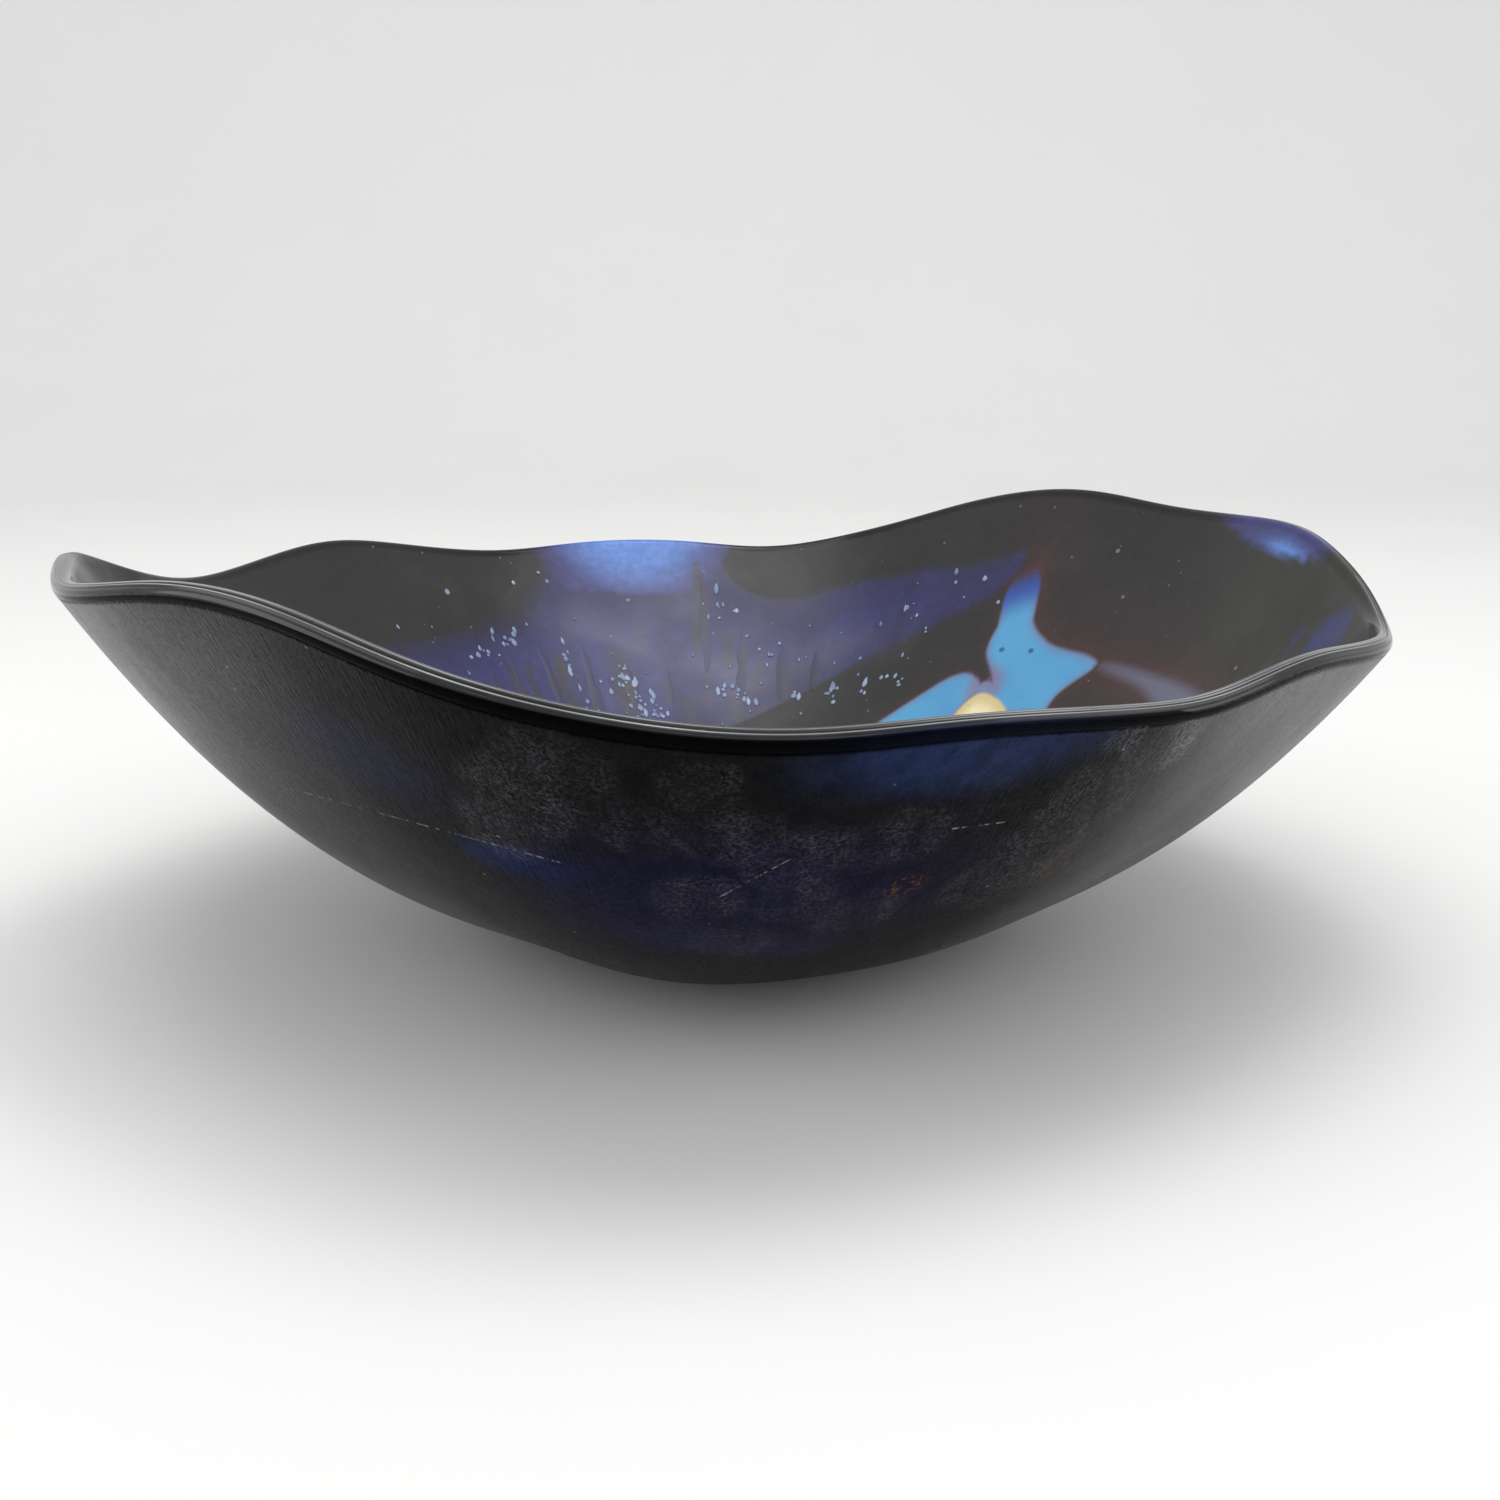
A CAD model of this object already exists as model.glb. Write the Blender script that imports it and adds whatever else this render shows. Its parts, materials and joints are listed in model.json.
"""Visual model of a free-form bowl of fused and slumped art glass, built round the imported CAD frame.

The frame gives every place and size. The surface between the bowl's two sheets of glass is fitted
to it, the outer and inner skins stand one sheet off that surface, and each cut piece of the mosaic
is the part of the upper sheet inside its own CAD outline. Metres, the CAD frame's axes.
"""

import json
from math import cos, pi, radians, sin

import bpy
import numpy as np
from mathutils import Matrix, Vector
from mathutils.bvhtree import BVHTree
from mathutils.kdtree import KDTree
from numpy.polynomial import chebyshev


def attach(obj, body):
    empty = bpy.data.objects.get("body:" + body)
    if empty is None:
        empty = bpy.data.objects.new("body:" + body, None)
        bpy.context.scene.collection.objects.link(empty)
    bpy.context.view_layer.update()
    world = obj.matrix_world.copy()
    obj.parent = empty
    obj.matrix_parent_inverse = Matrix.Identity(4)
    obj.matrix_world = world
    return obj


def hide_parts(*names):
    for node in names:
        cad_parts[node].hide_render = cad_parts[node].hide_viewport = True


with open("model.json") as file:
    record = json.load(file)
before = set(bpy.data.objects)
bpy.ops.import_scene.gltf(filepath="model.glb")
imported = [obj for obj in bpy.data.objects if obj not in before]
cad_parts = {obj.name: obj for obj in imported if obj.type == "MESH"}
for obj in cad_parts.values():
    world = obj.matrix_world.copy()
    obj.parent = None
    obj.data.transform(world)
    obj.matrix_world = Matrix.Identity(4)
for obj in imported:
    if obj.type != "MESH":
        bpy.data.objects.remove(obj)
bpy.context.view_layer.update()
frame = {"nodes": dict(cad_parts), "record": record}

MM = 0.001
SHEET = 3 * MM  # one layer of sheet glass
ABOVE = 0.5  # height that rays start from
MEAN_REACH = 0.19  # about how far the rim is from the axis, to turn angles into arcs

# Pieces of the upper sheet, in a fixed order
LOOSE = ("frit_grains", "stringers")
MOSAIC = sorted(name for name in frame["nodes"] if name != "base_sheet" and name not in LOOSE)
SLOTS = {entry["node"]: entry["material_slot"] for entry in frame["record"]["subparts"]}

# How finely the bowl is meshed
COLUMNS = 720  # round the rim; halved towards the middle
SKIN_RINGS = 130
RIM_RINGS = 18
HIDDEN_RINGS = 24
UNDER_RIM_SHARES = (0.9942, 0.9960, 0.9975, 0.9988, 1.0)  # finer rings just under the rim

# Rim: each sheet's edge is its own rounded bead. Grooves: turn round the rim, depth, width
GROOVES = ((radians(96), 0.42 * MM, radians(5)), (radians(68), 0.22 * MM, radians(6)))
# Fine light lines round the rim: turn, half-width, and the directions (degrees) they fade in between
RIM_LINES = (
    (radians(85), radians(3), 198, 222), (radians(105), radians(3), 272, 288),
    (radians(125), radians(4), 205, 235),
)
FACET_AT, FACET_HALF = radians(115), radians(21)  # flatter end of the upper sheet
LIP_AT, LIP_TIP_WIDTH, LIP_WIDTH = 178, 14, 26  # degrees; the grooves fade out round the lip
WORN = 0.75  # how much of the polish and of the grooves is lost at the lip

rng = np.random.default_rng(316)


# ---------------------------------------------------------------- noise

def smooth(low, high, value):
    """0 below low, 1 above high, easing in between."""
    share = np.clip((value - low) / (high - low), 0, 1)
    return share * share * (3 - 2 * share)


def noise(x, y, cell, seed):
    """Smooth random field from -1 to 1, with features about one cell wide."""
    side = 64
    table = np.random.default_rng(seed).uniform(-1, 1, (side, side))
    column, row = np.floor(x / cell), np.floor(y / cell)
    fx, fy = smooth(0, 1, x / cell - column), smooth(0, 1, y / cell - row)
    i, j = column.astype(int) % side, row.astype(int) % side
    i2, j2 = (i + 1) % side, (j + 1) % side
    low = table[i, j] * (1 - fx) + table[i2, j] * fx
    high = table[i, j2] * (1 - fx) + table[i2, j2] * fx
    return low * (1 - fy) + high * fy


def cloud(x, y, cell, seed):
    """Three octaves of noise."""
    total = noise(x, y, cell, seed) + 0.5 * noise(x, y, cell / 2, seed + 1)
    return (total + 0.25 * noise(x, y, cell / 4, seed + 2)) / 1.75


# ---------------------------------------------------------------- the frame's surfaces

def tree_of(names):
    """A search tree of these CAD nodes, and which node owns each of its faces."""
    points, faces, owners = [], [], []
    for index, name in enumerate(names):
        mesh = frame["nodes"][name].data
        start = len(points)
        points += [vertex.co.copy() for vertex in mesh.vertices]
        faces += [[start + i for i in face.vertices] for face in mesh.polygons]
        owners += [index] * len(mesh.polygons)
    return BVHTree.FromPolygons(points, faces), owners


def drop(tree, x, y):
    """Where a ray straight down at (x, y) first meets the tree: (point, normal, face, distance)."""
    return tree.ray_cast((x, y, ABOVE), (0, 0, -1))


base_tree, _ = tree_of(["base_sheet"])
mosaic_tree, mosaic_owner = tree_of(MOSAIC)


def outline_radius(angle):
    """How far the upper sheet reaches from the axis in this direction."""
    low, high = 0.1, 0.3
    for _ in range(20):
        middle = (low + high) / 2
        hit = drop(mosaic_tree, middle * cos(angle), middle * sin(angle))[0]
        low, high = (middle, high) if hit else (low, middle)
    return low


class Wall:
    """The surface where the two sheets meet, fitted smoothly to the frame.

    A place on it is an angle round the axis and a share of the way out to its outline.
    """

    ANGLES = 144
    SHARES = np.linspace(0.02, 0.99, 60)
    DEGREE = 12
    WAVES = 26

    def __init__(self):
        angles = 2 * pi * np.arange(self.ANGLES) / self.ANGLES
        reach = np.array([outline_radius(angle) for angle in angles])
        heights = np.empty((len(self.SHARES), self.ANGLES))
        for j, angle in enumerate(angles):
            for i, share in enumerate(self.SHARES):
                x, y = share * reach[j] * cos(angle), share * reach[j] * sin(angle)
                heights[i, j] = drop(base_tree, x, y)[0].z
        curves = chebyshev.chebfit(2 * self.SHARES - 1, heights, self.DEGREE)
        waves = np.fft.rfft(np.vstack([reach, curves]), axis=1)[:, :self.WAVES] / self.ANGLES
        waves[:, 1:] *= 2
        self.waves = waves.T

    def at(self, angle, share):
        turns = np.exp(1j * np.multiply.outer(angle, np.arange(self.WAVES)))
        values = (turns @ self.waves).real
        height = (values[..., 1:] * chebyshev.chebvander(2 * share - 1, self.DEGREE)).sum(-1)
        radius = values[..., 0] * share
        return np.stack([radius * np.cos(angle), radius * np.sin(angle), height], -1)

    def axes(self, angle, share):
        """Unit vectors at a place: into the bowl, and up the wall square to the rim."""
        step = 1e-3
        share = np.maximum(share, 2 * step)
        around = self.at(angle + step, share) - self.at(angle - step, share)
        outward = self.at(angle, share + step) - self.at(angle, share - step)
        inward = unit(np.cross(outward, around))
        return inward, unit(np.cross(around, inward))

    def rim_share(self, angle):
        """Share at which the rim's rounding is centred, one sheet short of the outline."""
        one = np.ones_like(angle)
        step = 1e-3
        run = (self.at(angle, one) - self.at(angle, one - step)) / step
        return 1 - SHEET / (run * self.axes(angle, one)[1]).sum(-1)

    def place_of(self, x, y, lift):
        """Angle and share of the wall point that, lifted into the bowl, stands over (x, y)."""
        plan = np.stack([x, y], -1)
        guess = plan.copy()
        for _ in range(6):
            angle = np.arctan2(guess[..., 1], guess[..., 0])
            share = np.hypot(guess[..., 0], guess[..., 1]) / self.reach(angle)
            lifted = self.at(angle, share) + lift * self.axes(angle, share)[0]
            guess = guess + plan - lifted[..., :2]
        angle = np.arctan2(guess[..., 1], guess[..., 0])
        return angle, np.hypot(guess[..., 0], guess[..., 1]) / self.reach(angle)

    def reach(self, angle):
        turns = np.exp(1j * np.multiply.outer(angle, np.arange(self.WAVES)))
        return (turns @ self.waves[:, 0]).real


def unit(vectors):
    return vectors / np.linalg.norm(vectors, axis=-1, keepdims=True)


wall = Wall()


# ---------------------------------------------------------------- meshes made of rings

def columns_at(share):
    """Columns in a ring: fewer towards the middle, so that faces stay nearly square."""
    count = COLUMNS
    while share < 0.5 * count / COLUMNS and count > 45:
        count //= 2
    return count


def ring_table(counts):
    """First vertex of each ring, and the total, with vertex 0 in the middle."""
    return np.concatenate([[1], 1 + np.cumsum(counts)])


def between_rings(start_in, count_in, start_out, count_out):
    """Faces from an inner ring to the next, which has as many columns or twice as many."""
    j = np.arange(count_in)
    nxt = (j + 1) % count_in
    if count_in == count_out:
        quads = np.stack([start_in + j, start_out + j, start_out + nxt, start_in + nxt], 1)
        return quads.tolist()
    a, b = start_in + j, start_in + nxt
    c, d, e = start_out + 2 * j, start_out + 2 * j + 1, start_out + 2 * nxt
    fans = [np.stack(t, 1) for t in ((a, c, d), (a, d, b), (b, d, e))]
    return np.concatenate(fans).tolist()


def rings_to_faces(counts):
    """Faces of a disc made of rings round vertex 0."""
    starts = ring_table(counts)
    faces = [[0, 1 + j, 1 + (j + 1) % counts[0]] for j in range(counts[0])]
    for k in range(len(counts) - 1):
        faces += between_rings(starts[k], counts[k], starts[k + 1], counts[k + 1])
    return faces


def bead(angle, turn):
    """Points of the rim's rounding: turn 0 is the outer skin, pi / 2 the joint, pi the inner."""
    share = wall.rim_share(angle)
    centre = wall.at(angle, share)
    inward, up = wall.axes(angle, share)
    facet = np.clip(turn - FACET_AT, -FACET_HALF, FACET_HALF)
    radius = SHEET * cos(FACET_HALF) / np.cos(facet)
    off_lip = (np.degrees(angle) % 360 - LIP_AT) / LIP_WIDTH
    for groove_turn, depth, width in GROOVES:
        calm = 1 - WORN * np.exp(-(off_lip ** 2))
        radius = radius - depth * calm * np.exp(-(((turn - groove_turn) / width) ** 2))
    radius = radius[..., None]
    return centre + radius * (np.sin(turn)[..., None] * up - np.cos(turn)[..., None] * inward)


def lip(angle):
    """1 at the tip of the lip, 0 round the rest of the rim."""
    return np.exp(-(((np.degrees(angle) % 360 - LIP_AT) / LIP_TIP_WIDTH) ** 2))


def rim_line(turn, angle):
    """1 on a fine light line of the rim, 0 elsewhere."""
    degrees = np.degrees(angle) % 360
    line = np.zeros(len(turn))
    for at, half, first, full in RIM_LINES:
        shown = smooth(first, full, degrees) * (1 - 0.6 * smooth(330, 350, degrees)) * (1 - lip(angle))
        line = np.maximum(line, shown * np.exp(-(((turn - at) / half) ** 2)))
    return line * (0.75 + 0.35 * noise(MEAN_REACH * angle, 0 * angle, 20 * MM, 113))


def make_object(name, points, faces, sharp=radians(40)):
    mesh = bpy.data.meshes.new(name)
    mesh.from_pydata([tuple(p) for p in points], [], faces)
    mesh.shade_smooth()
    mesh.set_sharp_from_angle(angle=sharp)
    obj = bpy.data.objects.new(name, mesh)
    bpy.context.scene.collection.objects.link(obj)
    return obj


def store(obj, name, values, kind="FLOAT"):
    """Stores one value, vector or colour per vertex, for the materials to read."""
    attribute = obj.data.attributes.new(name, kind, "POINT")
    field = {"FLOAT": "value", "FLOAT_VECTOR": "vector", "FLOAT_COLOR": "color"}[kind]
    attribute.data.foreach_set(field, np.ascontiguousarray(values, dtype=np.float32).ravel())


def add_piece(obj, node, material):
    obj.data.materials.append(material)
    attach(obj, "root")
    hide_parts(node)


DRAWN_OUT = 0.16  # how far draw marks are stretched down the wall, as a share of their width


def flow_of(angle, height):
    """Coordinates that stretch a pattern down the wall, without a seam round the bowl."""
    height = height * DRAWN_OUT
    return np.stack([MEAN_REACH * np.cos(angle), MEAN_REACH * np.sin(angle), height], -1)


# ---------------------------------------------------------------- lower sheet

def build_base_sheet(material):
    """Outer skin, the outer half of the rim, and the hidden face under the upper sheet."""
    angles, heights, gloss, points, counts = [], [], [], [], []
    points.append((0.0, 0.0, 0.0))
    angles.append(np.zeros(1))
    gloss.append(np.full(1, -1.0))

    def ring(share_in_column, lift=None, turn=None):
        count = columns_at(share_in_column)
        angle = 2 * pi * np.arange(count) / count
        if turn is None:
            share = share_in_column * wall.rim_share(angle)
            place = wall.at(angle, share) + lift * wall.axes(angle, share)[0]
        else:
            place = bead(angle, np.full(count, turn))
        counts.append(count)
        angles.append(angle)
        points.extend(place)
        if turn is None:
            gloss.append(np.full(count, max(-1.0, (share_in_column - 1) * 100)))
        else:
            gloss.append(np.full(count, turn / (pi / 2)))

    for share in np.concatenate([np.linspace(0, 1, SKIN_RINGS + 1)[1:-1], UNDER_RIM_SHARES]):
        ring(share, lift=-SHEET)
    for turn in np.linspace(0, pi / 2, RIM_RINGS + 1)[1:]:
        ring(1.0, turn=turn)
    faces = [face[::-1] for face in rings_to_faces(counts)]
    last_top = len(points) - counts[-1]

    # Hidden face, from the joint at the rim back to the middle
    hidden = np.linspace(1, 0, HIDDEN_RINGS + 1)[1:-1]
    for share in hidden:
        ring(share, lift=0.0)
    middle = len(points)
    points.append(wall.at(np.zeros(1), np.zeros(1))[0])
    angles.append(np.zeros(1))
    gloss.append(np.full(1, -1.0))
    sizes = counts[-len(hidden) - 1:]
    starts = [last_top]
    for size in sizes[:-1]:
        starts.append(starts[-1] + size)
    for k in range(len(sizes) - 1):
        faces += between_rings(starts[k + 1], sizes[k + 1], starts[k], sizes[k])
    faces += [[middle, starts[-1] + j, starts[-1] + (j + 1) % sizes[-1]] for j in range(sizes[-1])]

    points = np.array(points, dtype=float)
    angle, gloss = np.concatenate(angles), np.concatenate(gloss)
    outside = np.arange(len(points)) < last_top
    points = relieve_outside(points, angle, np.where(outside, smooth(0, -0.6, gloss), 0))
    points[:, 2] = np.where(outside, np.maximum(points[:, 2], 0), points[:, 2])
    obj = make_object("base_sheet_glass", points, faces)
    paint_outside(obj, points, angle, gloss)
    add_piece(obj, "base_sheet", material)


def relieve_outside(points, angle, skin):
    """Draw marks left by the mould: shallow ribs down the wall, strongest under the rim."""
    height = points[:, 2]
    arc = MEAN_REACH * angle
    ribs = noise(arc, height, 4.2 * MM, 41) * smooth(0.03, 0.09, height)
    ribs *= 0.5 + 0.5 * noise(arc, height, 60 * MM, 43)
    swell = noise(points[:, 0] + 1, points[:, 1] + 1, 45 * MM, 47)
    depth = skin * (0.10 * MM * ribs + 0.22 * MM * swell)
    outward = unit(points * np.array([1, 1, 0.35]) + np.array([1e-9, 0, -0.02]))
    return points + depth[:, None] * outward


def spot(points, centre, reach, stretch=(1, 1, 1), soft=0.45):
    """1 at a place on the wall, falling to 0 at its reach."""
    offset = (points - np.array(centre)) / np.array(stretch)
    return 1 - smooth(1 - soft, 1.0, np.linalg.norm(offset, axis=1) / reach)


# Dusty handling marks on the outside: place, reach, strength
DUST = (
    ((-0.046, -0.187, 0.085), 0.016, 0.50), ((-0.038, -0.199, 0.095), 0.014, 0.35),
    ((-0.053, -0.172, 0.073), 0.013, 0.6), ((-0.020, -0.190, 0.079), 0.012, 0.35),
    ((-0.007, -0.201, 0.091), 0.010, 0.35), ((0.001, -0.188, 0.077), 0.013, 0.5),
    ((0.014, -0.178, 0.069), 0.015, 0.6), ((-0.010, -0.170, 0.057), 0.013, 0.55),
    ((0.014, -0.165, 0.056), 0.012, 0.5), ((0.036, -0.174, 0.073), 0.014, 0.4),
    ((0.063, -0.140, 0.053), 0.017, 0.55), ((0.072, -0.146, 0.062), 0.018, 0.5),
    ((0.084, -0.151, 0.076), 0.020, 0.5), ((0.000, -0.150, 0.040), 0.012, 0.45),
    ((0.100, -0.150, 0.080), 0.016, 0.35), ((0.028, -0.152, 0.046), 0.012, 0.45),
    ((0.088, -0.167, 0.095), 0.007, 0.8), ((0.150, 0.050, 0.070), 0.024, 0.5),
    ((-0.120, 0.090, 0.060), 0.030, 0.45), ((0.040, 0.165, 0.055), 0.026, 0.5),
    ((-0.040, 0.150, 0.045), 0.020, 0.45), ((-0.150, -0.030, 0.055), 0.022, 0.3),
)
# Where the blue upper sheet shows through from inside, or the base is tinted
GLOWS = (
    ((0.052, -0.190, 0.096), 0.046, (1.2, 1, 0.36), (0.013, 0.024, 0.076), 0.80),
    ((-0.052, -0.167, 0.064), 0.028, (1.1, 1, 0.30), (0.0024, 0.0120, 0.0640), 0.95),
    ((0.000, -0.165, 0.055), 0.070, (1.2, 1, 0.55), (0.0044, 0.0034, 0.0210), 0.90),
    ((-0.014, -0.150, 0.044), 0.016, (1.2, 1, 0.70), (0.0100, 0.0080, 0.0400), 0.80),
    ((0.012, -0.140, 0.037), 0.016, (1.3, 1, 0.60), (0.0100, 0.0080, 0.0380), 0.80),
    ((-0.095, -0.160, 0.085), 0.042, (1.2, 1, 0.45), (0.0070, 0.0080, 0.0260), 0.70),
    ((-0.040, 0.170, 0.070), 0.085, (1.3, 1, 0.40), (0.0080, 0.0120, 0.0520), 0.85),
    ((0.165, 0.060, 0.085), 0.050, (1, 1.2, 0.40), (0.0100, 0.0160, 0.0650), 0.80),
    ((-0.150, -0.060, 0.060), 0.055, (1, 1.2, 0.50), (0.0060, 0.0060, 0.0240), 0.70),
)
RUST = (((0.039, -0.157, 0.057), 0.007), ((0.075, -0.131, 0.053), 0.009), ((-0.09, 0.13, 0.05), 0.008))
OUTER_BLACK = (0.0036, 0.0038, 0.0042)
RIM_GREY = (0.0120, 0.0120, 0.0130)
# The glassy black band just under the rim: directions (degrees) it begins, and ends abruptly, at
BAND = (168, 302.5)
# Directions (degrees) and how far up the rounding the black reaches in each, as shares of a quarter turn
BAND_TOP = ((0, 235, 262, 302, 304, 360), (0.50, 0.50, 0.80, 0.80, 0.62, 0.50))
# The clear front of the wall: its middle, and how far off it the frosted sides begin and are full
CLEAR_AT, FROST_FROM, FROST_FULL = 268, 22, 58
UNDERSIDE_FROST = 0.45  # even frost that the wall turns to towards the foot
DUST_STRENGTH, DUST_TEAR = 0.38, 3.5 * MM


def paint_outside(obj, points, angle, gloss):
    """Colour, dust, polish and flow coordinates of the lower sheet."""
    x, y, z = points.T
    arc = MEAN_REACH * angle
    paint = np.tile(OUTER_BLACK, (len(points), 1))
    warm = 0.5 + 0.5 * cloud(x + 1, y + z + 1, 50 * MM, 53)
    paint = paint * (0.8 + 0.5 * warm[:, None] * np.array([1.0, 1.0, 1.1]))
    for centre, reach, stretch, colour, strength in GLOWS:
        edge = 0.25 * cloud(x + 2, z + y + 2, 22 * MM, 59)
        share = strength * np.clip(spot(points, centre, reach, stretch, 0.75) + edge * 0.6, 0, 1)
        share *= spot(points, centre, reach * 1.25, stretch, 0.60)
        paint = paint + share[:, None] * (np.array(colour) - paint)
    dust = np.zeros(len(points))
    blown = [cloud(x + 3, z + y + 3, 9 * MM, seed)[:, None] for seed in (61, 127, 131)]
    torn = points + DUST_TEAR * np.hstack(blown)
    ragged = smooth(-1.1, 0.6, cloud(x + 5, z + y + 5, 5 * MM, 137))
    for centre, reach, strength in DUST:
        mark = spot(torn, centre, reach * 1.1, soft=0.3)
        dust = np.maximum(dust, DUST_STRENGTH * strength * mark * ragged)
    dust = np.clip(dust + 0.035 * smooth(0.05, 0.7, cloud(x + 4, z + y + 4, 26 * MM, 67)), 0, 1)
    rust = np.zeros(len(points))
    for centre, reach in RUST:
        rust = np.maximum(rust, spot(points, centre, reach))
    share = np.hypot(x, y) / wall.reach(angle)
    degrees = np.degrees(angle) % 360
    banded = smooth(BAND[0] - 6, BAND[0] + 6, degrees) * (1 - smooth(BAND[1] - 0.7, BAND[1] + 0.7, degrees))
    top = np.interp(degrees, BAND_TOP[0], BAND_TOP[1])
    under = smooth(-0.45, -0.05, gloss) * (1 - smooth(top - 0.26, top, gloss)) * (0.85 + 0.15 * banded)
    paint = mix(paint, np.array(RIM_GREY), smooth(top - 0.2, top + 0.1, gloss))
    paint = paint * (1 - 0.9 * under[:, None])
    line = rim_line(gloss * pi / 2, angle)
    sides = smooth(FROST_FROM, FROST_FULL, np.abs(degrees - CLEAR_AT))
    sides = sides + (1 - smooth(0.12, 0.62, share)) * (UNDERSIDE_FROST - sides)
    end = 0.7 * np.exp(-(((degrees - BAND[1] - 2.5) / 1.9) ** 2)) * smooth(0.93, 0.97, share) * (gloss < 0.5)
    dust = np.maximum(dust, end)
    polish = np.where(gloss > 0, 1 - WORN * lip(angle), 0.0)
    store(obj, "paint", np.column_stack([paint, np.ones(len(points))]), "FLOAT_COLOR")
    store(obj, "dust", dust * (polish == 0))
    store(obj, "line", line)
    store(obj, "sides", sides)
    store(obj, "drawn", smooth(0.004, 0.035, z))
    store(obj, "rust", rust)
    store(obj, "polish", polish)
    store(obj, "under", under)
    store(obj, "flow", flow_of(angle, z), "FLOAT_VECTOR")


# ---------------------------------------------------------------- upper sheet

class Outlines:
    """The plan outlines of the cut pieces, read from their upright CAD side walls."""

    def __init__(self):
        self.ends, self.nodes = [], []
        for index, name in enumerate(MOSAIC):
            mesh = frame["nodes"][name].data
            edges = set()
            for face in mesh.polygons:
                if abs(face.normal.z) < 0.05:
                    ring = list(face.vertices)
                    edges |= {tuple(sorted(pair)) for pair in zip(ring, ring[1:] + ring[:1])}
            for a, b in edges:
                start, end = mesh.vertices[a].co, mesh.vertices[b].co
                if (start.xy - end.xy).length > 0.02 * MM:
                    self.ends.append((start.x, start.y, end.x, end.y))
                    self.nodes.append(index)
        self.ends = np.array(self.ends)
        self.samples, self.sample_edge = [], []
        for edge, (x0, y0, x1, y1) in enumerate(self.ends):
            count = int(np.hypot(x1 - x0, y1 - y0) / (0.5 * MM)) + 2
            for share in np.linspace(0, 1, count):
                self.samples.append((x0 + share * (x1 - x0), y0 + share * (y1 - y0), 0.0))
                self.sample_edge.append(edge)

    def tree(self, names=None):
        """Search tree of the outlines of these nodes, or of all."""
        wanted = None if names is None else {MOSAIC.index(name) for name in names}
        picked = [i for i, edge in enumerate(self.sample_edge)
                  if wanted is None or self.nodes[edge] in wanted]
        tree = KDTree(len(picked))
        for place, i in enumerate(picked):
            tree.insert(self.samples[i], i)
        tree.balance()
        return tree

    def nearest(self, tree, x, y):
        """Nearest outline point to (x, y), exactly on its edge, and how far it is."""
        _, index, _ = tree.find((x, y, 0.0))
        x0, y0, x1, y1 = self.ends[self.sample_edge[index]]
        along = ((x - x0) * (x1 - x0) + (y - y0) * (y1 - y0)) / ((x1 - x0) ** 2 + (y1 - y0) ** 2)
        along = min(1.0, max(0.0, along))
        near_x, near_y = x0 + along * (x1 - x0), y0 + along * (y1 - y0)
        return near_x, near_y, np.hypot(x - near_x, y - near_y)


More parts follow.
